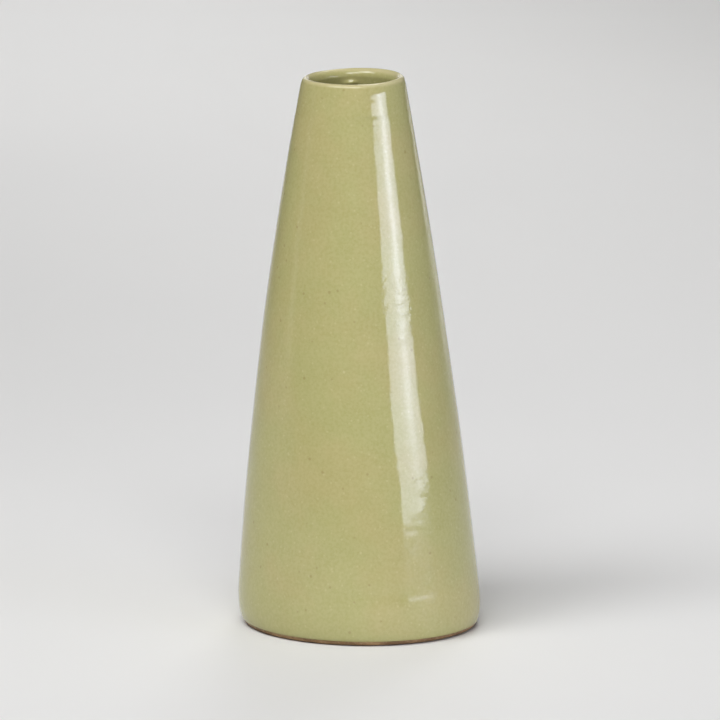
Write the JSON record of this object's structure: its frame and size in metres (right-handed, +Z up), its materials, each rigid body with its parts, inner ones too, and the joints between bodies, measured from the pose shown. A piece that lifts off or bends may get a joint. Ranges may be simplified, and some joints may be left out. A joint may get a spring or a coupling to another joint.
{
  "type": "bud vase",
  "caption": "Tall tapered bud vase of glazed stoneware, with a narrow round mouth, a slightly convex wall and a rounded lower edge on a flat foot ring",
  "frame": {"origin": "on the surface that the vase stands on, under the middle of its widest part", "axes": "+Z up through the mouth, +X to the right and +Y away from a viewer at the front"},
  "size_m": [0.0745, 0.0744, 0.1703],
  "materials": {
    "glaze": "glossy pale green glaze with fine speckle, slightly uneven, over a dry stoneware foot"
  },
  "bodies": {
    "root": {"vase_body": "glaze"}
  },
  "joints": []
}
